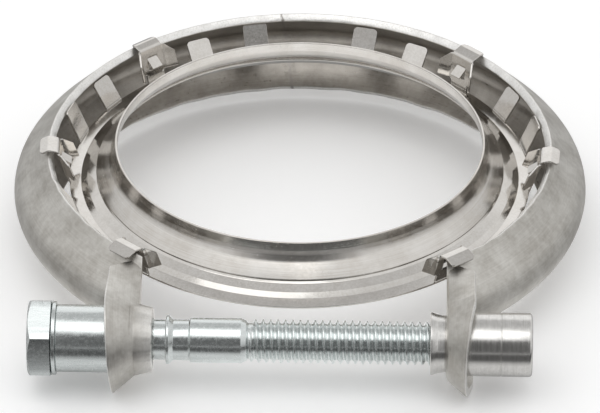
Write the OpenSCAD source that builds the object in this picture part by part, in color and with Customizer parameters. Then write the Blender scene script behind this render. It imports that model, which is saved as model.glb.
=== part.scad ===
// Exhaust pipe connector: a V-section clamp band with its sealing ring, retainer, bolt and nut.
// Millimetres. The ring's axis is Z, the groove's middle is z = 0, and the bolt lies along X at -Y.

/* [Clamp band] */
// outer radius of the rounded crown
crown_r = 40.2; // [38:0.1:44]
// thickness of the band's sheet
sheet = 1.2; // [0.8:0.1:1.4]
// inside radius of the rounded crown
crown_in = 2.7; // [2:0.1:3.5]
// inner radius of the two lips
lip_r = 34.4; // [33.6:0.1:35.4]

/* [Ears] */
// distance from the crown inward to the bolt's axis
bolt_in = 1.6; // [1:0.1:3]
// half the gap between the two ear floors
gap_half = 20.65; // [18:0.05:23]
// depth of the nut's ear from floor to rim
ear_depth = 3.5; // [3:0.05:4]
// how much deeper the bolt's ear is
more_depth = 0.5; // [0:0.05:0.6]
// radius of the nut ear's rim around the bolt
rim_r = 7.15; // [6.6:0.05:7.6]
// radius of an ear's floor around the bolt
floor_r = 4.85; // [4.7:0.05:5.2]
// lean of the rims, lower side nearer the gap
rim_lean = 3.2; // [0:0.1:5]
// length of the drawn collar on the bolt's ear
collar_len = 1.9; // [1:0.1:2.5]

/* [Sealing ring] */
// radius of the gas bore
bore_r = 25.6; // [24.5:0.1:26]
// height of the mouth above the groove's middle
mouth_z = 7.4; // [7:0.1:8]
// radius of the cone's lower edge
seal_foot_r = 28.65; // [28.4:0.05:29]
// height of the cone's lower edge
seal_foot_z = 3.15; // [2.9:0.05:3.4]
// thickness of the sealing sheet
seal_t = 0.4; // [0.3:0.05:0.5]

/* [Retainer] */
// gap between the flat annulus and the lips
flat_gap = 2; // [1.6:0.1:2.4]
// height of the flat annulus
flat_z = 1.36; // [1.2:0.02:1.5]
// thickness of the retainer's spring sheet
spring_t = 0.3; // [0.25:0.05:0.35]
// width of a centring tab
tab_w = 3.5; // [2.5:0.1:4]
// width of a clip across its wings
wing_w = 8; // [6:0.2:9]
// width of a clip's hook
hook_w = 3.8; // [3:0.1:4.4]
// turn of the retainer in the band
retainer_turn = 1.6; // [0:0.1:3]

/* [Bolt and nut] */
// hexagon across flats
head_af = 10; // [9:0.5:11]
// height of the hexagon
head_h = 3.1; // [2.8:0.1:3.6]
// radius of the spacer sleeve
sleeve_r = 4.55; // [4.3:0.05:4.6]
// length of the spacer sleeve
sleeve_len = 9.5; // [8:0.1:10]
// outer radius of the thread
thread_r = 2.95; // [2.9:0.01:2.97]
// radius of the nut's barrel
barrel_r = 4.3; // [4.1:0.05:4.5]
// length of the barrel behind its seat
barrel_len = 10.4; // [9:0.1:12]

/* [Hidden] */
$fn = 96;
play = 0.05;
steel = [0.62, 0.6, 0.57];
spring_steel = [0.8, 0.79, 0.77];
zinc = [0.82, 0.85, 0.87];
root2 = sqrt(2);
crown_c = crown_r - sheet - crown_in;
leg = (crown_c + crown_in / root2 - lip_r) * root2;
lip_z = crown_c + crown_in * root2 - lip_r;
lip_top = [lip_r, lip_z] + [sheet, sheet] / root2;
tall = lip_z + 3.3;
bolt_y = crown_r - bolt_in;
back_y = sqrt(lip_r * lip_r - gap_half * gap_half) - 0.11;
side_z = lip_z - 0.12;
flat_r = lip_r - flat_gap;
drop = (rim_r - floor_r) / ear_depth;
wall = 1.09 * sheet;
shank_r = 3.05;
hole_r = shank_r + 0.25;
neck_r = 3.8;
sleeve_seat = (sleeve_r - floor_r + wall) / drop + 0.05;
barrel_seat = (barrel_r - floor_r + wall) / drop + 0.05;
sleeve_x = -gap_half - sleeve_seat;
head_x = sleeve_x - sleeve_len;
seal_run = [seal_foot_r - bore_r - seal_t, seal_foot_z - mouth_z + 1.1];
seal_dir = seal_run / norm(seal_run);
seal_in = [seal_dir[1], -seal_dir[0]] * seal_t;

// filled V with a rounded crown, out to a distance from the crown's centre line
module vee(r, l, back) {
    translate([crown_c, 0]) {
        circle(r);
        for (s = [-1, 1]) rotate(45 * s) translate([-back, s > 0 ? 0 : -l]) square([back + r - 0.002, l]);
    }
}

// everything beside the gap and inside the middle of the band's sheet
module groove_space() {
    difference() {
        rotate_extrude() intersection() {
            vee(crown_in + sheet / 2, leg * 2, crown_c - 6);
            translate([0, -tall]) square([crown_r, 2 * tall]);
        }
        translate([-gap_half, -50, -tall - 1]) cube([2 * gap_half, 100, 2 * tall + 2]);
    }
}

// the pressed ring, open between the ears
module hoop() {
    difference() {
        rotate_extrude() difference() {
            vee(crown_in + sheet, leg, 20);
            vee(crown_in, leg + 1, 21);
        }
        translate([-gap_half, -50, -tall - 1]) cube([2 * gap_half, 50, 2 * tall + 2]);
    }
}

// the ear's pan as a full body: half a cone around the bolt in front, straight sides behind
module pan(start, less, depth) {
    far = depth + 1;
    back = bolt_y - back_y - 0.2;
    near_r = floor_r + drop * start - less;
    far_r = floor_r + drop * far - less;
    near_z = side_z + 0.13 * start - less;
    far_z = side_z + 0.13 * far - less;
    intersection() {
        translate([start, 0, 0]) rotate([0, 90, 0]) cylinder(r1 = near_r, r2 = far_r, h = far - start);
        translate([-1, -20, -20]) cube([20, 20, 40]);
    }
    polyhedron([[start, 0, -near_r], [far, 0, -far_r], [far, back, -far_z], [start, back, -near_z],
                [start, 0, near_r], [far, 0, far_r], [far, back, far_z], [start, back, near_z]],
               [[0, 3, 7], [0, 7, 4], [1, 5, 6], [1, 6, 2], [0, 4, 5], [0, 5, 1],
                [3, 2, 6], [3, 6, 7], [0, 1, 2], [0, 2, 3], [4, 7, 6], [4, 6, 5]]);
}

// an ear opening toward +X, with the bolt's axis on the X axis and the ring toward +Y
module ear(bore, collar, depth) {
    difference() {
        union() {
            pan(0, 0, depth);
            if (collar > 0) rotate([0, 90, 0]) {
                translate([0, 0, -collar]) cylinder(r = floor_r - 0.4, h = collar + sheet);
                translate([0, 0, -0.7]) cylinder(r1 = floor_r - 0.42, r2 = floor_r, h = 0.7);
            }
        }
        pan(sheet, wall, depth);
        translate([-5, 0, 0]) rotate([0, 90, 0]) cylinder(r = bore, h = 20);
        translate([-0.5, 0, 0]) rotate([0, 90, 0])
            cylinder(r1 = floor_r - wall - 0.5 * drop, r2 = floor_r - wall + drop * sheet, h = sheet + 0.5);
        rotate([0, -rim_lean, 0]) translate([depth, -20, -20]) cube([20, 60, 40]);
        translate([0, bolt_y - back_y, -20]) rotate([0, 0, -38]) cube([20, 20, 40]);
    }
}

module clamp_band() {
    color(steel) {
        hoop();
        difference() {
            union() {
                translate([gap_half, -bolt_y, 0]) ear(neck_r + play, 0, ear_depth);
                mirror([1, 0, 0]) translate([gap_half, -bolt_y, 0]) ear(hole_r, collar_len, ear_depth + more_depth);
            }
            groove_space();
        }
    }
}

module seal_ring() {
    neck = [bore_r + seal_t, mouth_z - 1.1];
    foot = [seal_foot_r, seal_foot_z];
    edge = 0.12;
    color(spring_steel) rotate_extrude()
        polygon([[bore_r, mouth_z - edge], [bore_r + edge, mouth_z], [bore_r + seal_t - edge, mouth_z],
                 [bore_r + seal_t, mouth_z - edge], neck, foot, foot + seal_in, [bore_r, neck[1] - 0.36 * seal_t]]);
}

// a flat blade with two rounded corners, standing on the X axis
module blade(w, l, r) {
    linear_extrude(spring_t) {
        translate([-w / 2, 0]) square([w, l - r]);
        translate([-w / 2 + r, 0]) square([w - 2 * r, l]);
        for (s = [-1, 1]) translate([s * (w / 2 - r), l - r]) circle(r);
    }
}

// stands a blade on the annulus edge at an azimuth from the back, leaning outward
module on_edge(az, lean) {
    rotate([0, 0, -az]) translate([0, flat_r, flat_z - spring_t]) rotate([90 - lean, 0, 0]) children();
}

// the clip's plate: stem, wings, chamfers and fold, with a lanced tongue
module clip_plate(l) {
    w = wing_w / 2;
    h = hook_w / 2;
    side = [[1.45, 0], [1.45, 0.134 * l], [w, 0.15 * l], [w, 0.47 * l], [w - 0.95, 0.735 * l], [h, 0.82 * l], [h, l]];
    difference() {
        linear_extrude(spring_t) for (s = [0, 1]) mirror([s, 0])
            polygon(concat([[-0.1, 0]], side, [[-0.1, l]]));
        translate([-1, 0.32 * l, -1]) cube([2, 0.35 * l, 3]);
    }
    translate([-0.85, 0.66 * l, 0]) rotate([18, 0, 0]) translate([0, -0.335 * l, 0])
        cube([1.7, 0.36 * l, spring_t]);
}

// a clip with its hook over the upper lip
module clip(az) {
    slope = 8;
    top = lip_top + [-1.05, 0.2];
    run = top - [flat_r, flat_z - spring_t];
    back = 1.19;
    on_edge(az, atan2(run[0], run[1])) clip_plate(norm(run));
    rotate([0, 0, -az]) translate([0, lip_top[0] - back, lip_top[1] + back * tan(slope) + 0.02])
        rotate([-slope, 0, 0]) blade(hook_w, 2.65, 0.6);
}

module retainer_ring() {
    a = [seal_foot_r, seal_foot_z] + seal_in * 1.05;
    up = a - seal_dir * 1.2;
    low = a + seal_dir * 0.35;
    under = [seal_dir[1], -seal_dir[0]] * spring_t;
    bend = flat_r - 1.5;
    spring_back = spring_t * 0.85;
    reach = (lip_r + lip_z - flat_r - flat_z + spring_t) / 6.66;
    color(spring_steel) {
        rotate_extrude() polygon([up, low, [bend, flat_z], [flat_r, flat_z], [flat_r, flat_z - spring_t],
            [bend - 0.1, flat_z - spring_t], low + [-spring_back, -spring_back], up + under]);
        rotate([0, 0, -retainer_turn]) for (s = [-1, 1]) {
            for (az = [42.6, 92, 139.7]) clip(s * az);
            for (t = [[14.1, 4.4, 33], [28.7, 4, 36], [59, 4, 36], [75.2, 4.9, 24], [108, 4, 36], [124, 4.2, 34]])
                on_edge(s * t[0], t[2]) blade(tab_w, t[1] * reach, 0.6);
        }
    }
}

// section of the bolt: first value along X, second from its axis
module bolt_section() {
    end_x = gap_half + 6;
    bead_x = -gap_half + 3.65;
    guide_x = bead_x + 3.3;
    thread_x = guide_x + 8.3;
    polygon([[head_x - 0.65, 0], [head_x - 0.65, 4.95], [head_x, 4.95], [head_x, shank_r],
             [sleeve_x + 0.8, shank_r], [sleeve_x + 1.1, 2.73], [bead_x, 2.73], [bead_x, 3.2], [bead_x + 0.15, 3.35],
             [bead_x + 0.35, 3.35], [bead_x + 0.75, 2.95], [bead_x + 1, 2.78], [guide_x - 0.15, 2.78],
             [guide_x, 3.05], [guide_x + 6.9, 3.05], [guide_x + 7.9, 2.65], [thread_x, 2.65],
             [thread_x + 0.3, thread_r], [end_x - 0.8, thread_r], [end_x, 2.3], [end_x, 0]]);
}

module clamp_bolt() {
    top = head_x - 0.65;
    color(zinc) translate([0, -bolt_y, 0]) {
        rotate([90, 0, 90]) rotate_extrude() rotate(90) mirror([0, 1]) bolt_section();
        intersection() {
            translate([top - head_h, 0, 0]) rotate([0, 90, 0]) rotate([0, 0, 90 + 33.4])
                cylinder(r = head_af / sqrt(3), h = head_h, $fn = 6);
            translate([top - head_h, 0, 0]) rotate([0, 90, 0])
                cylinder(r1 = head_af / 2 - 0.15, r2 = head_af / 2 - 0.15 + 2 * head_h, h = head_h);
        }
    }
}

module spacer_sleeve() {
    color(zinc) translate([head_x + 0.02, -bolt_y, 0]) rotate([0, 90, 0]) difference() {
        union() {
            cylinder(r = sleeve_r, h = sleeve_len - 0.22);
            cylinder(r = sleeve_r - 0.2, h = sleeve_len - 0.02);
        }
        translate([0, 0, -1]) cylinder(r = shank_r + play, h = sleeve_len + 2);
    }
}

module nut_section() {
    b = gap_half + barrel_seat;
    e = b + barrel_len;
    bore = thread_r + play;
    polygon([[gap_half - 2.15, bore + 0.9], [gap_half - 2.15, barrel_r + 0.05], [gap_half - 1.1, barrel_r - 0.3],
             [gap_half - 0.05, neck_r], [b, neck_r], [b, barrel_r], [e - 0.4, barrel_r], [e, barrel_r - 0.4],
             [e, bore + 0.4], [e - 0.4, bore], [gap_half - 1, bore]]);
}

module barrel_nut() {
    color(steel) translate([0, -bolt_y, 0]) rotate([90, 0, 90]) rotate_extrude() rotate(90) mirror([0, 1])
        nut_section();
}

clamp_band();
seal_ring();
retainer_ring();
clamp_bolt();
spacer_sleeve();
barrel_nut();
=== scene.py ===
import math

import bmesh
import bpy
import numpy as np
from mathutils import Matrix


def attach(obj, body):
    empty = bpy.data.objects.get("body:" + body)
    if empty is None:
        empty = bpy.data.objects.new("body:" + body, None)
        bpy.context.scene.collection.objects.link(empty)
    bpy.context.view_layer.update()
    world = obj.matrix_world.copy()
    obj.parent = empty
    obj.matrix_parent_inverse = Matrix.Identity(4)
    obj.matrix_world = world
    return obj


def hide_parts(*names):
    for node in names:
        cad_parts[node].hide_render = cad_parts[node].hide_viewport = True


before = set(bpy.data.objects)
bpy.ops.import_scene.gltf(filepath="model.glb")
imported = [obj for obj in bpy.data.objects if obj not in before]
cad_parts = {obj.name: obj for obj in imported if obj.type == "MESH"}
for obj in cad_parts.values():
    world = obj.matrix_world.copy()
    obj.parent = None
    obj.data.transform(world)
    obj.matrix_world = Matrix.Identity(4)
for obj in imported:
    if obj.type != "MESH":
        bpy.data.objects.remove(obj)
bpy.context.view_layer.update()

# Clamp band: one strip of 1.2 mm stainless sheet, rolled to a ring and pressed to a V with a rounded crown.
# Both ends are drawn into pans that take the bolt and the nut. It is satin from the forming rollers, and its
# cut edges are left slightly wavy by the shears and brightened with a painted highlight.

sheet, cut_r = 1.2, 0.17
crown_centre, bend_r, leg = 36.3, 3.3, 5.387
gap_half, bolt_y = 20.65, 38.6


def rounded(corners, radii, steps=5, closed=True):
    """Each corner becomes an arc that touches both its sides: it starts at the corner plus one side's
    direction times radius over the tangent of half the corner's angle, and its points turn evenly about the
    centre."""
    c = np.asarray(corners, float)
    out = []
    for i, r in enumerate(radii):
        if r <= 0 or (not closed and i in (0, len(c) - 1)):
            out.append(c[i:i + 1])
            continue
        a, b = c[i - 1] - c[i], c[(i + 1) % len(c)] - c[i]
        a, b = a / np.linalg.norm(a), b / np.linalg.norm(b)
        half = math.acos(np.clip(a @ b, -1, 1)) / 2
        centre = c[i] + (a + b) / np.linalg.norm(a + b) * r / math.sin(half)
        start, end = c[i] + a * r / math.tan(half) - centre, c[i] + b * r / math.tan(half) - centre
        turn = math.pi - 2 * half
        t = np.linspace(0, 1, steps + 1)[:, None]
        out.append(centre + (np.sin((1 - t) * turn) * start + np.sin(t * turn) * end) / math.sin(turn))
    return np.concatenate(out)


def along(points, closed=False):
    """Distance from the first point, summed along the row of points, and back to the start when closed."""
    p = np.concatenate([points, points[:1]]) if closed else points
    return np.concatenate([[0], np.cumsum(np.linalg.norm(np.diff(p, axis=0), axis=1))])


def grid(p, u, v, wrap_u=False, wrap_v=False, mark=0.0, flip=False):
    """A surface of quads over a grid of points: rows run along u, columns along v. u and v are in millimetres
    and lay out the map; mark is 1 on cut edges and 0 on rolled faces."""
    rows, cols = p.shape[:2]
    a, b = np.meshgrid(np.arange(rows - (not wrap_u)), np.arange(cols - (not wrap_v)), indexing="ij")
    a, b = a.ravel(), b.ravel()
    pick = [(a, b), (a + 1, b), (a + 1, b + 1), (a, b + 1)]
    quads = np.stack([(i % rows) * cols + j % cols for i, j in pick], 1)
    u, v = np.asarray(u, float), np.asarray(v, float)
    uv = np.stack([np.stack([u[i], v[j]], 1) for i, j in pick], 1)
    if flip:
        quads, uv = quads[:, ::-1], uv[:, ::-1]
    mark = np.broadcast_to(mark, (rows, cols)).ravel()
    return {"p": p.reshape(-1, 3), "quads": quads, "uv": uv, "mark": mark}


def sum_of_waves(angle, counts, seed):
    """A closed wavy line around the ring: whole numbers of sine waves with their own phases, added up."""
    r = np.random.default_rng(seed)
    phase = r.uniform(0, 2 * np.pi, len(counts))
    size = r.uniform(0.6, 1, len(counts)) / np.sqrt(len(counts))
    return (np.sin(np.multiply.outer(angle, counts) + phase) * size).sum(-1)


# the strip's middle line from lip to lip, its outward direction and half thickness, and a faint roller mark
edge_steps = np.array([0, .02, .06, .12, .2, .4, .8, 1.4, 2.2, 3, 3.8, 4.6])
far_from_edge = 9.0
turn = np.linspace(-np.pi / 4, np.pi / 4, 23)
leg_start = bend_r * math.sqrt(0.5)
down_leg = (leg - edge_steps) / math.sqrt(2)
lower = np.stack([crown_centre + leg_start - down_leg, -leg_start - down_leg], 1)
arc = np.stack([crown_centre + bend_r * np.cos(turn), bend_r * np.sin(turn)], 1)
middle = np.concatenate([lower, arc, lower[::-1] * (1, -1)])
from_edge = np.concatenate([edge_steps, np.full(len(turn), far_from_edge), edge_steps[::-1]])
on_leg = np.full(len(edge_steps), np.pi / 4)
face = np.concatenate([-on_leg, turn, on_leg])
out_dir = np.stack([np.cos(face), np.sin(face)], 1)
dip = np.clip(cut_r - from_edge, 0, None)
half_t = (sheet / 2 - cut_r + np.sqrt(cut_r ** 2 - dip ** 2))[:, None]
roller_mark = 0.05 * np.exp(-((from_edge - 2.75) / 0.5) ** 2)[:, None]
section = np.concatenate([middle + out_dir * (half_t - roller_mark), (middle - out_dir * half_t)[::-1]])
from_edge = np.concatenate([from_edge, from_edge[::-1]])
edge_way = np.concatenate([np.sign(middle[:, 1]), np.sign(middle[::-1, 1])])
edge_near = np.exp(-from_edge / 0.7)

# swept around the ring, each line of the section ending in the plane of its ear's floor
t = np.linspace(-1, 1, 721)[:, None]
angle = t * (np.pi - np.arcsin(gap_half / section[:, 0]))
upper_wave = sum_of_waves(angle, np.array([5, 9, 14, 31, 53, 71]), 3)
lower_wave = sum_of_waves(angle, np.array([4, 7, 17, 27, 45]), 4)
slip = 0.09 * np.where(edge_way > 0, upper_wave, lower_wave) * edge_near
ring_r = section[:, 0] - slip / math.sqrt(2) + 0.02 * sum_of_waves(angle, np.array([3, 6, 11, 19]), 5)
ring_z = section[:, 1] + slip * edge_way / math.sqrt(2)
swept = np.stack([ring_r * np.sin(angle), ring_r * np.cos(angle), ring_z], -1)
half = len(middle)
ends = [grid(np.stack([swept[i, :half], swept[i, half:][::-1]]), [0, sheet], along(middle), mark=0.6,
             flip=i == 0) for i in (0, -1)]
half_strip, edge_wide = 120, 0.18
hoop = grid(swept, t[:, 0] * half_strip, along(section, True), wrap_v=True,
            mark=np.clip(1 - from_edge / edge_wide, 0, 1))


def ear(side, hole, pan, radii, depth, lean, cut_back, floor_r, flare, bulge):
    """A drawn pan. Its section, corners of radius and depth, is placed around the bolt as a half circle in
    front and along straight sides behind; behind the floor the section starts on the crown's middle surface.
    Each point lies on the line from the floor's inner border to the pan's side, as far from the side as the
    section says. The rim leans and is cut back in front."""
    root_y, root_z, root_half, rim_r, floor_t = 11.25, 5.5, 5.62, 7, 1.3
    hole_part, floor_part, flare_lost, drawn_in = 0.3, 0.45, 0.79, 0.78
    s = rounded(pan, radii, 6)
    rho, x = s[:, 0], s[:, 1]
    deep = np.clip(x, 0, None)
    outer_line = floor_r + flare * deep
    inward = outer_line - rho
    keep = 0.25 + np.clip(x, 0, sheet)
    weight = np.clip(1 - (inward - keep) / (outer_line - hole - keep), 0, 1)

    m = np.linspace(1, 0, 61)[:-1]
    height = root_z * np.clip((m - floor_part) / (1 - floor_part), 0, 1)
    on_arc = np.sqrt(bend_r ** 2 - np.minimum(height, bend_r) ** 2)
    crown = crown_centre + np.where(height < leg_start, on_arc, bend_r * math.sqrt(2) - height)
    meets = bolt_y - np.sqrt(crown ** 2 - (gap_half + 0.3) ** 2)
    around = np.clip(m / hole_part, 0, 1) * np.pi / 2
    step = np.clip((m - hole_part) / (floor_part - hole_part), 0, 1)
    to_crown = hole + step * (meets[-1] - hole) + meets - meets[-1]
    border = np.stack([np.where(m < hole_part, hole * np.sin(around), to_crown),
                       np.where(m < hole_part, hole * np.cos(around), height)], 1)

    phi = np.linspace(0, np.pi, 97)
    front = np.stack([-np.sin(phi), np.cos(phi)], 1)
    inner = np.concatenate([border, hole * front, (border * (1, -1))[::-1]])
    base_y = np.concatenate([root_y * m, 0 * phi, root_y * m[::-1]])
    upward = np.tile([0.0, 1.0], (len(m), 1))
    way = np.concatenate([upward, front, -upward])
    back = np.clip(base_y / root_y, 0, 1)[:, None]
    back = back * back * (3 - 2 * back)
    floor_half = floor_r + (root_half - floor_r) * back
    swell = bulge * np.sin(np.pi * np.clip(x / depth, 0, 1)) * (1 - back)
    reach = floor_half + flare * (1 - flare_lost * back) * deep + swell - np.minimum(inward, keep)
    y = base_y[:, None] * (1 - drawn_in * deep / root_y)
    target = np.stack([y + way[:, :1] * reach, way[:, 1:] * reach])
    start = inner.T[:, :, None]
    py, pz = start + (target - start) * weight
    rim = depth + lean * pz / rim_r - cut_back * np.clip(-py / rim_r, 0, 1)
    px = np.where(x > floor_t, floor_t + (x - floor_t) * (rim - floor_t) / (depth - floor_t), x)
    p = np.stack([side * (gap_half + px), py - bolt_y, pz], -1)

    floor_line = np.stack([base_y, floor_half[:, 0] * way[:, 1]], 1)
    rim_mark = np.clip((x - depth + 0.25) / 0.2, 0, 1)
    wall = grid(p, along(floor_line), along(s, True), wrap_v=True, mark=rim_mark, flip=side < 0)
    n = len(s) // 2
    caps = [grid(np.stack([p[i, :n], p[i, n:2 * n][::-1]]), [0, sheet], along(s[:n]),
                 flip=(i == 0) != (side < 0)) for i in (0, -1)]
    return [wall, *caps]


right_ear = ear(1, 3.85, [(3.85, 0), (4.6, 0), (7.2, 3.85), (5.95, 3.85), (4.25, 1.2), (3.85, 1.2)],
                [.05, .9, .16, .16, 1.0, .05], depth=3.85, lean=0.1, cut_back=1.2, floor_r=4.6, flare=0.676,
                bulge=0.75)
left_ear = ear(-1, 3.3, [(3.3, 0), (4.45, 0), (7.45, 4.0), (6.1, 4.0), (3.95, 1.2), (3.3, 1.2)],
               [.05, .1, .16, .16, .9, .05], depth=4.0, lean=0.5, cut_back=0.1, floor_r=4.45, flare=0.75,
               bulge=0)


def turned(profile, count, wrap=True, mark=0.0, flip=False, x_axis=True, wobble=None):
    """A section of distance along the axis and radius, spun about the bolt's axis or the ring's axis."""
    a = np.linspace(0, 2 * np.pi, count, endpoint=False)[:, None]
    h, r = profile[:, 0] + 0 * a, profile[:, 1] + 0 * a
    if wobble is not None:
        h, r = h + wobble[0](a), r + wobble[1](a)
    p = [h, r * np.sin(a) - bolt_y, r * np.cos(a)] if x_axis else [r * np.sin(a), r * np.cos(a), h]
    girth = np.linspace(0, 2 * np.pi, count + 1) * profile[:, 1].max()
    return grid(np.stack(p, -1), girth, along(profile, wrap), wrap_u=True, wrap_v=wrap, mark=mark, flip=flip)


# the drawn collar on the bolt's ear, its free end left rough by the punch and marked like a cut edge, so it
# takes the cut edges' painted highlight
floor_x, free_end = -gap_half - 1.1, -gap_half + 1.9
collar = rounded([(floor_x, 3.3), (floor_x, 5.25), (floor_x + 0.45, 4.92), (free_end - 0.12, 4.3),
                  (free_end, 4.0), (free_end + 0.02, 3.3)], [0, 0, .5, .12, .1, .08], 6)
near_end = np.clip(1 - (free_end - collar[:, 0]) / 0.5, 0, 1)
near_rim = near_end * (collar[:, 1] > 3.6)
punched = turned(collar, 160, mark=near_end, flip=True, wobble=(
    lambda a: 0.1 * near_end * sum_of_waves(a, np.array([3, 5, 9, 13, 29]), 8),
    lambda a: 0.05 * near_rim * sum_of_waves(a, np.array([4, 7, 16, 31]), 9)))


def put(tree, kind, inputs=None, **settings):
    """Adds a shader node; each input is either a value or another node's output."""
    n = tree.nodes.new(kind)
    for key, value in settings.items():
        setattr(n, key, value)
    for key, value in (inputs or {}).items():
        if isinstance(value, bpy.types.NodeSocket):
            tree.links.new(value, n.inputs[key])
        else:
            n.inputs[key].default_value = value
    return n


def arithmetic(tree, operation, *values):
    """One step of arithmetic on numbers or other nodes' outputs."""
    return put(tree, "ShaderNodeMath", dict(enumerate(values)), operation=operation).outputs[0]


def millimetres(tree):
    """The object's own coordinates, counted in millimetres."""
    c = put(tree, "ShaderNodeTexCoord").outputs["Object"]
    return put(tree, "ShaderNodeMapping", {"Vector": c, "Scale": (1000, 1000, 1000)}).outputs[0]


def length_of(tree, vector, scale, place=(0, 0, 0)):
    """The length of a vector after it is scaled and moved."""
    moved = put(tree, "ShaderNodeMapping", {"Vector": vector, "Scale": scale, "Location": place}).outputs[0]
    return put(tree, "ShaderNodeVectorMath", {0: moved}, operation="LENGTH").outputs["Value"]


def noise(tree, vector, scale, detail, rough, stretch=None):
    """Noise of so many cycles a millimetre, stretched if asked."""
    if stretch:
        vector = put(tree, "ShaderNodeMapping", {"Vector": vector, "Scale": stretch}).outputs[0]
    inputs = {"Vector": vector, "Scale": scale, "Detail": detail, "Roughness": rough}
    return put(tree, "ShaderNodeTexNoise", inputs).outputs["Fac"]


def span(tree, value, low, high, to_low=0.0, to_high=1.0):
    """Maps low..high to to_low..to_high, clamped."""
    inputs = {"Value": value, "From Min": low, "From Max": high, "To Min": to_low, "To Max": to_high}
    return put(tree, "ShaderNodeMapRange", inputs).outputs[0]


def blend(tree, factor, a, b):
    """Mixes two colours."""
    n = put(tree, "ShaderNodeMix", {0: factor}, data_type="RGBA")
    for socket, value in ((n.inputs[6], a), (n.inputs[7], b)):
        if isinstance(value, bpy.types.NodeSocket):
            tree.links.new(value, socket)
        else:
            socket.default_value = (*value, 1)
    return n.outputs[2]


def bump(tree, height, strength, distance, under=None):
    """Raises the surface by the height, distance in millimetres at full height."""
    inputs = {"Height": height, "Strength": strength, "Distance": distance * 0.001}
    if under:
        inputs["Normal"] = under
    return put(tree, "ShaderNodeBump", inputs).outputs[0]


def metal(name):
    """A bare metal's material, with its node tree."""
    made = bpy.data.materials.new(name)
    made.use_nodes = True
    made.node_tree.nodes["Principled BSDF"].inputs["Metallic"].default_value = 1
    return made, made.node_tree


def dress(tree, colour, roughness, normal):
    """Links the colour, the roughness and the raised surface to the shader."""
    surface = tree.nodes["Principled BSDF"]
    for name, value in (("Base Color", colour), ("Roughness", roughness), ("Normal", normal)):
        tree.links.new(value, surface.inputs[name])


# satin stainless: mottled by the rollers, with a fine lengthwise grain; smoother inside the groove, and
# darkened there by painted shade
steel, tree = metal("band stainless")
mm = millimetres(tree)
uv = put(tree, "ShaderNodeUVMap", uv_map="map").outputs[0]
cut = put(tree, "ShaderNodeAttribute", attribute_name="mark").outputs["Fac"]
x, y, z = put(tree, "ShaderNodeSeparateXYZ", {0: mm}).outputs
radius = length_of(tree, mm, (1, 1, 0))
mottle = noise(tree, mm, 0.22, 4, 0.6)
speck = noise(tree, mm, 1.3, 4, 0.65)
grain = noise(tree, uv, 1.0, 4, 0.6, (0.12, 5, 1))
tone = arithmetic(tree, "MULTIPLY_ADD", grain, 0.45, mottle)
tone = span(tree, arithmetic(tree, "MULTIPLY_ADD", speck, 0.5, tone), 0.75, 1.2)
colour = blend(tree, tone, (0.42, 0.40, 0.365), (0.655, 0.64, 0.605))
from_v = arithmetic(tree, "ADD", radius, arithmetic(tree, "ABSOLUTE", z))
# painted shade: the groove's inner faces get a darker colour; the same mask also makes them smoother
groove_shade_and_smoothness = arithmetic(tree, "MULTIPLY", span(tree, from_v, 41.0, 40.9), span(tree, radius, 39.65, 39.55))
colour = blend(tree, groove_shade_and_smoothness, colour, blend(tree, tone, (0.27, 0.25, 0.225), (0.42, 0.395, 0.36)))

# cut edges: nicked by the shears, and brightened by a painted highlight
nicks = span(tree, noise(tree, mm, 4, 3, 0.7), 0.35, 0.55)
colour = blend(tree, cut, colour, blend(tree, nicks, (0.74, 0.73, 0.70), (0.88, 0.87, 0.85)))

# the weld across the back: a ragged dark line between two low banks
weld_aside, weld_tilt = 0.0795, 0.12
weld = arithmetic(tree, "MULTIPLY_ADD", y, weld_aside, x)
weld = arithmetic(tree, "MULTIPLY_ADD", z, weld_tilt, weld)
weld = arithmetic(tree, "ADD", weld, span(tree, noise(tree, mm, 1.6, 3, 0.6), 0.2, 0.8, -0.25, 0.25))
weld = arithmetic(tree, "ABSOLUTE", weld)
at_back = span(tree, y, 33.5, 33.6)
weld_line = arithmetic(tree, "MULTIPLY", span(tree, weld, 0.28, 0.05), at_back)
weld_bank = arithmetic(tree, "MULTIPLY", span(tree, weld, 0.9, 0.3), at_back)
colour = blend(tree, weld_line, colour, (0.3, 0.28, 0.26))

worn = span(tree, arithmetic(tree, "ADD", speck, grain), 0.7, 1.3, 0.34, 0.48)
height = bump(tree, noise(tree, mm, 0.35, 2, 0.5), 0.45, 0.12)
height = bump(tree, speck, 0.4, 0.03, height)
height = bump(tree, grain, 0.25, 0.008, height)
height = bump(tree, arithmetic(tree, "MULTIPLY", noise(tree, mm, 5, 4, 0.7), cut), 0.5, 0.05, height)
height = bump(tree, weld_bank, 0.6, 0.08, height)
height = bump(tree, weld_line, -0.7, 0.08, height)
dress(tree, colour, arithmetic(tree, "MULTIPLY_ADD", groove_shade_and_smoothness, -0.08, worn), height)


def piece(name, grids, material, body, node, weld=True):
    """Joins surfaces into one smooth mesh in metres and hands it to the frame in place of its CAD node."""
    start = np.cumsum([0] + [len(g["p"]) for g in grids[:-1]])
    mesh = bpy.data.meshes.new(name)
    quads = np.concatenate([g["quads"] + s for g, s in zip(grids, start)])
    mesh.from_pydata((np.concatenate([g["p"] for g in grids]) * 0.001).tolist(), [], quads.tolist())
    uv = np.concatenate([g["uv"] for g in grids]).astype(np.float32)
    mesh.uv_layers.new(name="map").data.foreach_set("uv", uv.ravel())
    mark = np.concatenate([g["mark"] for g in grids]).astype(np.float32)
    mesh.attributes.new("mark", "FLOAT", "POINT").data.foreach_set("value", mark)
    if weld:
        b = bmesh.new()
        b.from_mesh(mesh)
        bmesh.ops.remove_doubles(b, verts=b.verts, dist=1e-7)
        b.to_mesh(mesh)
        b.free()
    mesh.polygons.foreach_set("use_smooth", np.ones(len(mesh.polygons), bool))
    mesh.set_sharp_from_angle(angle=math.radians(40))
    mesh.materials.append(material)
    made = bpy.data.objects.new(name, mesh)
    bpy.context.scene.collection.objects.link(made)
    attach(made, body)
    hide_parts(node)
    return made


piece("clamp_band_sheet", [hoop, *ends, *right_ear, *left_ear, punched], steel, "clamp", "clamp_band")

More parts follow.
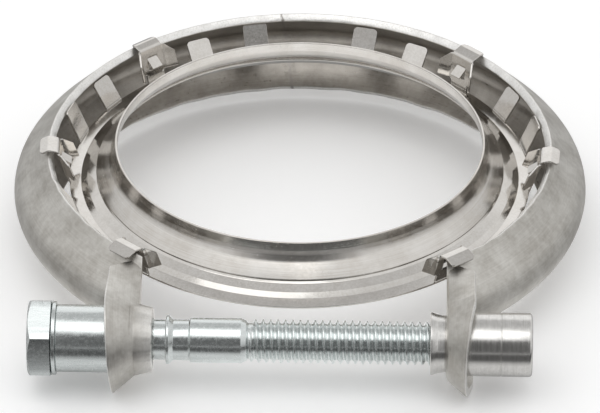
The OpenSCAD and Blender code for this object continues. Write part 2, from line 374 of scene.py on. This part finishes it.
# Sealing ring: one turn of bright 0.4 mm stainless sheet, pressed to a cone with an upright mouth.
# It lies on the retainer's inner edge and is squeezed between the two pipe flanges.

seal = rounded([(7.4, 25.6), (7.4, 25.92), (6.3, 26.14), (5.2, 26.5), (3.15, 28.65), (2.87, 28.37),
                (4.97, 26.15), (6.1, 25.6)], [.12, .12, 1.5, 2.5, .12, .08, 2.5, .5], 8)

# bright sheet with the grain of the press running around
pressed, tree = metal("pressed spring sheet")
mm = millimetres(tree)
uv = put(tree, "ShaderNodeUVMap", uv_map="map").outputs[0]
grain = noise(tree, uv, 1.0, 4, 0.65, (0.05, 6, 1))
mottle = noise(tree, mm, 0.3, 3, 0.6)
speck = noise(tree, mm, 2.5, 3, 0.6)
tone = span(tree, arithmetic(tree, "ADD", mottle, grain), 0.75, 1.25)
worn = span(tree, arithmetic(tree, "ADD", speck, grain), 0.7, 1.3, 0.16, 0.28)
height = bump(tree, mottle, 0.2, 0.03)
height = bump(tree, grain, 0.2, 0.006, height)
height = bump(tree, speck, 0.12, 0.006, height)
dress(tree, blend(tree, tone, (0.58, 0.55, 0.51), (0.70, 0.68, 0.65)), worn, height)

piece("seal_ring_cone", [turned(seal, 512, x_axis=False)], pressed, "clamp", "seal_ring")

# Retainer: one stamping of 0.3 mm spring sheet under the sealing ring. Its cone ends in a flat rim with
# twelve centring tabs and six clips, each a winged plate with a lanced tongue and a hook over the band's lip.

spring_t = 0.3
rim_r, rim_z = 32.4, 1.36
foot, knee = (32.2, 1.39), (32.45, 1.362)
tip_corner, tab_half, stem_half = 0.6, 1.75, 1.9
slot_half, slot_near, slot_far = 0.9, 1.3, 3.2
saved_by_bends = 0.12
tongue_half, tongue_below, tongue_reach = 0.85, 1.2, (1.62, 1.15)


def rim_lift(azimuth, r):
    """How much the flat rim lies higher than in front, where it was pressed home: most at the back."""
    slope, flat_from = 0.1, 30.8
    return slope * (1 + np.cos(azimuth)) * np.clip(r - flat_from, 0, None)


cone = rounded([(27.46, 3.71), (27.49, 3.68), (28.6, 2.57), (29.9, 2.02), (30.75, 1.55), (32.37, 1.35),
                (rim_r, 1.346)], [0, 0, .3, .5, .4, 0, 0], 6, closed=False)
columns, cone_girth = 512, 180
a = np.linspace(0, 2 * np.pi, columns, endpoint=False)[:, None]
cone_r, cone_z = cone[:, 0] + 0 * a, cone[:, 1] + rim_lift(a, cone[:, 0])
cone_p = np.stack([cone_r * np.sin(a), cone_r * np.cos(a), cone_z], -1)
retainer = [grid(cone_p, np.linspace(0, cone_girth, columns + 1), along(cone), wrap_u=True)]


def bent(azimuth, line, radii, half_width, lines=None, wings=(0, 0), slot=(0, 0)):
    """A strip of sheet: a line of radius and height with rounded bends, as wide at each distance from its tip
    as half_width says, placed at an azimuth from the back toward +X and lifted with the rim. The width runs
    along the ring's tangent, and what lies beside the stem is bent inward by the wings' angles. Left out are
    the slot that the tongue is lanced from and, where the outline jumps in, all beside the narrower part."""
    az = math.radians(azimuth)
    path = rounded(line, radii, 5, closed=False) + (0, rim_lift(az, rim_r))
    d = along(path)
    near_tip = d[-1] - tip_corner * (1 - np.cos(np.linspace(0, np.pi / 2, 9)))
    stops = np.unique(np.concatenate([np.arange(0, d[-1] - 0.05, 0.12), d, near_tip, [d[-1] - 0.02]]))
    r, z = np.interp(stops, d, path[:, 0]), np.interp(stops, d, path[:, 1])
    wide = half_width(d[-1] - stops)
    even = np.concatenate([[-1, -0.98], np.linspace(-0.94, 0.94, 11), [0.98, 1]])
    across = even * wide[:, None] if lines is None else lines(wide)
    wing = np.clip(abs(across) - stem_half, 0, None)
    lean = np.clip(wing / 0.5, 0, 1) * np.radians(np.where(across < 0, *wings))
    aside = np.sign(across) * (abs(across) - wing * (1 - np.cos(lean)))
    r, z = r[:, None] - wing * np.sin(lean), z[:, None] + 0 * across
    p = np.stack([r * math.sin(az) + aside * math.cos(az), r * math.cos(az) - aside * math.sin(az), z], -1)
    map_wide = 4
    g = grid(p, stops, np.linspace(0, map_wide, across.shape[1]))
    to_tip = d[-1] - (stops[:-1] + stops[1:])[:, None] / 2
    mid_x = abs(across[:-1, :-1] + across[1:, 1:]) / 2
    out = (abs(np.diff(wide))[:, None] > 0.7) & (mid_x > 1.6)
    out |= (mid_x < slot_half) & (to_tip > slot[0]) & (to_tip < slot[1])
    kept = ~out.ravel()
    g["quads"], g["uv"] = g["quads"][kept], g["uv"][kept]
    return g


def corner_cut(to_tip):
    """What the rounded corner of a tip takes off the half width."""
    d = np.clip(tip_corner - to_tip, 0, tip_corner)
    return tip_corner - np.sqrt(tip_corner ** 2 - d ** 2)


def clip_half(to_tip, hook):
    """The clip's outline: stem, wings, chamfers up to the hook, and the hook's rounded corners."""
    places = [-9, 0.1, 0.2, 1.4, 3.75, 3.85, 3.95, 9]
    return np.interp(to_tip - hook, places, [1.9, 1.9, 2.5, 3.85, 4.0, 3.9, 1.5, 1.5]) - corner_cut(to_tip)


def clip_lines(wide):
    """Lines across the clip, two of them along the sides of the tongue's slot."""
    slot = np.minimum(slot_half, wide * 0.6)[:, None]
    outward = np.concatenate([[0, 0.03], np.linspace(0.1, 0.94, 10), [0.985, 1]])
    side = outward * (wide[:, None] - slot) + slot
    return np.concatenate([-side[:, ::-1], np.linspace(-1, 1, 5)[None, 1:-1] * slot, side], 1)


# each tab's azimuth, length and lean outward
for azimuth, length, lean in [(-12.5, 4.6, 39), (14.6, 4.2, 39), (-27.1, 3.6, 42), (28.3, 3.4, 42),
                              (-57.4, 4.2, 36), (60.6, 4.2, 36), (-73.6, 4.9, 24), (76.8, 4.9, 24),
                              (-106.4, 4.2, 36), (109.6, 4.2, 36), (-122.4, 4.2, 34), (125.6, 4.2, 34)]:
    tip = (rim_r + length * math.sin(math.radians(lean)), rim_z + length * math.cos(math.radians(lean)))
    retainer.append(bent(azimuth, [foot, knee, tip], [0, .2, 0],
                         lambda to_tip: tab_half - corner_cut(to_tip)))

# each clip's azimuth, the hook's fold, middle and end, and the wings' angles
for azimuth, fold, over, end, wings in [(-41.5, (33.9, 6.1), (34.85, 6.45), (35.7, 6.05), (49, 16)),
                                        (43.8, (33.2, 6.05), (34.7, 6.45), (35.6, 6.15), (16, 49)),
                                        (-92.4, (34.0, 6.45), (35.15, 6.75), (36.3, 6.25), (38, 54)),
                                        (93.9, (34.0, 6.45), (35.1, 6.75), (36.3, 6.25), (54, 38)),
                                        (-139.2, (34.03, 6.6), (35.2, 6.85), (36.8, 6.35), (66, 45)),
                                        (141.3, (34.03, 6.6), (35.2, 6.85), (36.8, 6.35), (45, 66))]:
    fold, over, end = np.array(fold), np.array(over), np.array(end)
    hook = np.linalg.norm(fold - over) + np.linalg.norm(end - over) - saved_by_bends
    retainer.append(bent(azimuth, [foot, knee, fold, over, end], [0, .2, .3, .5, 0],
                         lambda to_tip: clip_half(to_tip, hook), clip_lines, wings,
                         (hook + slot_near, hook + slot_far)))
    run = fold - knee
    run /= np.linalg.norm(run)
    root = fold - run * tongue_below
    retainer.append(bent(azimuth, [root + run * 0.25, root, root - tongue_reach], [0, .25, 0],
                         lambda to_tip: tongue_half + 0 * to_tip))

# spring sheet left as rolled, smoother than the sealing ring; the front clips' plates are darkened by painted
# shade
spring, tree = metal("rolled spring sheet")
mm = millimetres(tree)
x, y, z = put(tree, "ShaderNodeSeparateXYZ", {0: mm}).outputs
grain = noise(tree, mm, 1.0, 4, 0.65, (3, 3, 0.6))
mottle = noise(tree, mm, 0.4, 3, 0.6)
speck = noise(tree, mm, 3, 3, 0.6)
tone = span(tree, arithmetic(tree, "ADD", mottle, speck), 0.75, 1.25)
# painted shade: the front clips' plates, between the rim and the hooks, get a dark colour
front_clip_painted_shade = arithmetic(tree, "MULTIPLY", span(tree, y, -21, -21.5), span(tree, z, 6.1, 5.9))
front_clip_painted_shade = arithmetic(tree, "MULTIPLY", front_clip_painted_shade, span(tree, z, 1.65, 1.8))
front_clip_painted_shade = arithmetic(tree, "MULTIPLY", front_clip_painted_shade, span(tree, length_of(tree, mm, (1, 1, 0)), 30.6, 30.8))
colour = blend(tree, tone, (0.61, 0.585, 0.55), (0.68, 0.66, 0.63))
colour = blend(tree, front_clip_painted_shade, colour, blend(tree, tone, (0.19, 0.178, 0.162), (0.29, 0.274, 0.25)))
height = bump(tree, mottle, 0.2, 0.03)
height = bump(tree, speck, 0.15, 0.006, height)
height = bump(tree, grain, 0.1, 0.004, height)
dress(tree, colour, span(tree, speck, 0.3, 0.7, 0.09, 0.17), height)

made = piece("retainer_stamping", retainer, spring, "clamp", "retainer_ring", weld=False)
thick = made.modifiers.new("sheet", "SOLIDIFY")
thick.thickness = spring_t * 0.001
thick.offset = -1

# Barrel nut: turned from stainless bar and tapped M6. Its thin neck sits in the right ear and is flared over
# on the gap side, so that the nut can't turn or fall out.

bore, neck, barrel, shallow = 3.0, 3.8, 4.3, 4.25
nut = rounded([(18.5, bore + 0.75), (18.5, 4.35), (19.55, 4.0), (20.6, neck), (21.94, neck), (21.94, barrel),
               (27.95, barrel), (28.0, shallow), (28.08, shallow), (28.13, barrel), (32.24, barrel),
               (32.24, bore + 0.3), (31.9, bore), (19.6, bore)],
              [.12, .2, .3, .2, .05, .15, .02, .02, .02, .02, .42, .1, .05, .3], 4)

# turned bar: fine rings from the tool
bar, tree = metal("turned stainless")
mm = millimetres(tree)
rings = noise(tree, mm, 1.0, 3, 0.6, (7, 0.25, 0.25))
tone = span(tree, arithmetic(tree, "ADD", rings, noise(tree, mm, 1.6, 4, 0.6)), 0.75, 1.25)
colour = blend(tree, tone, (0.60, 0.59, 0.57), (0.72, 0.71, 0.69))
dress(tree, colour, span(tree, rings, 0.3, 0.7, 0.17, 0.27), bump(tree, rings, 0.3, 0.012))

piece("barrel_nut_turned", [turned(nut, 192)], bar, "clamp", "barrel_nut")

# Clamp bolt: cold-headed steel with a hexagon of 10 mm and a washer face, an M6 rolled thread and a rolled
# bead that keeps it in its ear. Bright zinc with a bluish tinge.

head_x, shank_r, guide_r, end_x = -32.4, 3.05, 2.73, 26.65
shank = rounded([(head_x, 0), (head_x, 4.6), (-32.25, 4.95), (-31.75, 4.95), (-31.75, shank_r),
                 (-21.55, shank_r), (-21.2, guide_r), (-17.0, guide_r), (-17.0, 3.35), (-16.6, 3.35),
                 (-16.0, 2.78), (-13.9, 2.78), (-13.7, shank_r), (-6.9, shank_r), (-6.2, 2.75), (-5.9, 2.44),
                 (26.2, 2.44), (end_x, 2.1), (end_x, 0)],
                [0, .1, .12, .06, .1, .1, .1, .08, .18, .15, .12, .12, .08, .12, .2, .1, .05, .1, 0], 4)


def thread(x0, x1, root, crest, taper):
    """A ridge rolled along a helix of 1 mm pitch: each row is one section of root, flank, crest and flank at
    its own angle, and each turn begins where the last one ends. The ridge rises and falls over the taper."""
    turns, rows_a_turn, turn_length = x1 - x0, 44, 18.8
    s = np.linspace(0, turns, int(turns * rows_a_turn) + 1)[:, None]
    across = np.array([0, 0.06, 0.12, 0.40, 0.43, 0.46, 0.57, 0.60, 0.63, 0.91, 0.96, 1.0]) - 0.5
    up = np.array([0, 0.0, 0.06, 0.93, 0.985, 1, 1, 0.985, 0.93, 0.06, 0.0, 0])
    rise = np.clip(s / taper, 0, 1) * np.clip((turns - s) / taper, 0, 1)
    r = root + (crest - root) * up * np.sqrt(rise)
    angle = -2 * np.pi * s
    p = np.stack([x0 + s + across, r * np.sin(angle) - bolt_y, r * np.cos(angle)], -1)
    return grid(p, s[:, 0] * turn_length, across, flip=True)


def hexagon(flats, base, end, turned_by):
    """The head's hexagon with slightly rounded corners: the radius at each angle is half the flats' distance
    over the root of a sum of high powers of the cosines to the six flats. A 30 degree cone trims the end."""
    power, trim = 90, 0.2
    girth, down_map = 34, [0, 4.8, 5.6, 8.7, 14]
    t = np.linspace(-1, 1, 21)[:-1]
    sector = 30 + 30 * np.sign(t) * (1 - (1 - abs(t)) ** 1.7)
    sixths = np.arange(6) * 60
    angle = np.radians((sixths[:, None] + sector).ravel() + turned_by)[:, None]
    cosines = np.clip(np.cos(angle - np.radians(turned_by + sixths)), 0, None)
    r = flats / 2 / (cosines ** power).sum(1) ** (1 / power)
    ring = flats / 2 - trim
    shoulder = end + (r - ring) * math.tan(math.radians(30))
    zero = 0 * r
    x = np.stack([zero + end, zero + end, shoulder, zero + base, zero + base], 1)
    rad = np.stack([zero, zero + ring, r, r, zero], 1)
    p = np.stack([x, rad * np.sin(angle) - bolt_y, rad * np.cos(angle)], -1)
    return grid(p, np.linspace(0, girth, len(angle) + 1), down_map, wrap_u=True)


# zinc plate: drawn lines along the bolt under a spangled, slightly pitted coat
zinc, tree = metal("bright zinc")
mm = millimetres(tree)
drawn = noise(tree, mm, 1.0, 3, 0.6, (0.25, 3, 3))
speck = noise(tree, mm, 2.2, 5, 0.7)
tone = span(tree, arithmetic(tree, "ADD", drawn, speck), 0.75, 1.3)
height = bump(tree, drawn, 0.2, 0.01)
height = bump(tree, speck, 0.3, 0.02, height)
colour = blend(tree, tone, (0.62, 0.655, 0.65), (0.75, 0.785, 0.78))
dress(tree, colour, span(tree, speck, 0.3, 0.7, 0.16, 0.32), height)

head = hexagon(10, base=head_x, end=-35.5, turned_by=33.4)
ridge = thread(-5.9, 26.0, root=2.42, crest=2.97, taper=0.6)
piece("clamp_bolt_zinc", [turned(shank, 160, wrap=False), head, ridge], zinc, "bolt", "clamp_bolt")

# Spacer sleeve: a cut piece of tube between the hexagon and the left ear's funnel, so that the bolt is long
# enough to stretch a little when tight. Zinc plated like the bolt, its edges broken by tumbling.

sleeve = rounded([(-31.73, 3.1), (-31.73, 4.55), (-22.37, 4.55), (-22.37, 3.1)], [.1, .14, .25, .1], 5)
piece("spacer_sleeve_tube", [turned(sleeve, 160)], zinc, "sleeve", "spacer_sleeve")

# The photographer's set: a pale floor between a white backdrop and grey side walls, a long soft box overhead,
# and the dark side of the room behind the camera.

floor_z = -0.00745
floor_mesh = bpy.data.meshes.new("floor")
floor_mesh.from_pydata([(x, y, floor_z) for x, y in ((-3, -3), (3, -3), (3, 3), (-3, 3))], [], [(0, 1, 2, 3)])
floor = bpy.data.objects.new("floor", floor_mesh)
bpy.context.scene.collection.objects.link(floor)

# white to the camera, with more glow far off, where the lamp doesn't reach; in the metal it shows a painted
# reflection: it glows under the ring, where it lies in shadow, is grey around it and dark in front of the
# bolt
pale = bpy.data.materials.new("pale floor")
pale.use_nodes = True
tree = pale.node_tree
surface = tree.nodes["Principled BSDF"]
path = put(tree, "ShaderNodeLightPath").outputs
mm = millimetres(tree)
y = put(tree, "ShaderNodeSeparateXYZ", {0: mm}).outputs[1]
patch_x, patch_y, toward_bolt = 40, 37, 8
around = length_of(tree, mm, (1 / patch_x, 1 / patch_y, 0), (0, toward_bolt / patch_y, 0))
painted_reflection_level = arithmetic(tree, "MAXIMUM", span(tree, around, 0.85, 1.15, 1.0, 0.42), span(tree, y, -34, -42, 0, 0.68))
painted_reflection_level = arithmetic(tree, "MULTIPLY", painted_reflection_level, span(tree, y, -59, -49, 0.12, 1.0))
mirrored = blend(tree, path["Is Glossy Ray"], (0.42, 0.42, 0.42), painted_reflection_level)
tree.links.new(blend(tree, path["Is Camera Ray"], mirrored, (1, 1, 1)), surface.inputs["Base Color"])
# painted reflection: the floor glows for glossy rays only, most under the ring
glow = arithmetic(tree, "MULTIPLY", painted_reflection_level, path["Is Glossy Ray"])
far_off = span(tree, around, 4, 14, 0.35, 2.6)
glow = arithmetic(tree, "MULTIPLY_ADD", path["Is Camera Ray"], far_off, glow)
tree.links.new(arithmetic(tree, "MULTIPLY", glow, 0.35), surface.inputs["Emission Strength"])
surface.inputs["Emission Color"].default_value = (1, 1, 1, 1)
surface.inputs["Roughness"].default_value = 0.9
surface.inputs["Specular IOR Level"].default_value = 0
floor_mesh.materials.append(pale)

# the room's brightness over the half turn from the front horizon over the top to the back horizon, and as at
# the horizon below it
world = bpy.data.worlds.new("studio")
bpy.context.scene.world = world
world.use_nodes = True
tree = world.node_tree
direction = put(tree, "ShaderNodeTexCoord").outputs["Generated"]
x, y, z = put(tree, "ShaderNodeSeparateXYZ", {0: direction}).outputs
forward = arithmetic(tree, "MULTIPLY", y, -1.0)
overhead = arithmetic(tree, "ARCTAN2", arithmetic(tree, "MAXIMUM", z, 0.0), forward)
room = put(tree, "ShaderNodeValToRGB", {0: span(tree, overhead, 0, math.pi)})
stops = [(0.0, 0.6), (0.014, 0.6), (0.03, 0.14), (0.26, 0.14), (0.31, 1.05), (0.47, 1.05), (0.53, 0.75),
         (0.6, 0.6), (0.74, 0.6), (0.79, 1.15), (1.0, 1.1)]
while len(room.color_ramp.elements) < len(stops):
    room.color_ramp.elements.new(0.5)
for element, (place, level) in zip(room.color_ramp.elements, stops):
    element.position = place
    element.color = (level, level, level, 1)
sideways = span(tree, arithmetic(tree, "ABSOLUTE", x), 0.25, 0.6)
walls = blend(tree, sideways, room.outputs[0], span(tree, z, 0.05, 0.6, 0.6, 0.95))
tree.links.new(walls, tree.nodes["Background"].inputs["Color"])
tree.nodes["Background"].inputs["Strength"].default_value = 1.0

light = bpy.data.lights.new("light_above", "AREA")
light.shape, light.size, light.size_y = "RECTANGLE", 0.6, 0.4
light.energy = 0.65
soft_box = bpy.data.objects.new("light_above", light)
bpy.context.scene.collection.objects.link(soft_box)
soft_box.location = (-0.1, -0.2, 0.65)
down_to_ring = -soft_box.location
soft_box.rotation_euler = down_to_ring.to_track_quat("-Z", "Y").to_euler()

camera_data = bpy.data.cameras.new("camera")
camera_data.sensor_fit = "HORIZONTAL"
camera_data.sensor_width = 36
camera_data.lens = 297.97
camera_data.clip_start, camera_data.clip_end = 0.01, 20
camera = bpy.data.objects.new("camera", camera_data)
camera.location = (0.01530, -0.58416, 0.38539)
camera.rotation_euler = (math.radians(90 - 33.67), 0, math.radians(1.5))
bpy.context.scene.collection.objects.link(camera)
bpy.context.scene.camera = camera
bpy.context.scene.view_settings.view_transform = "Standard"
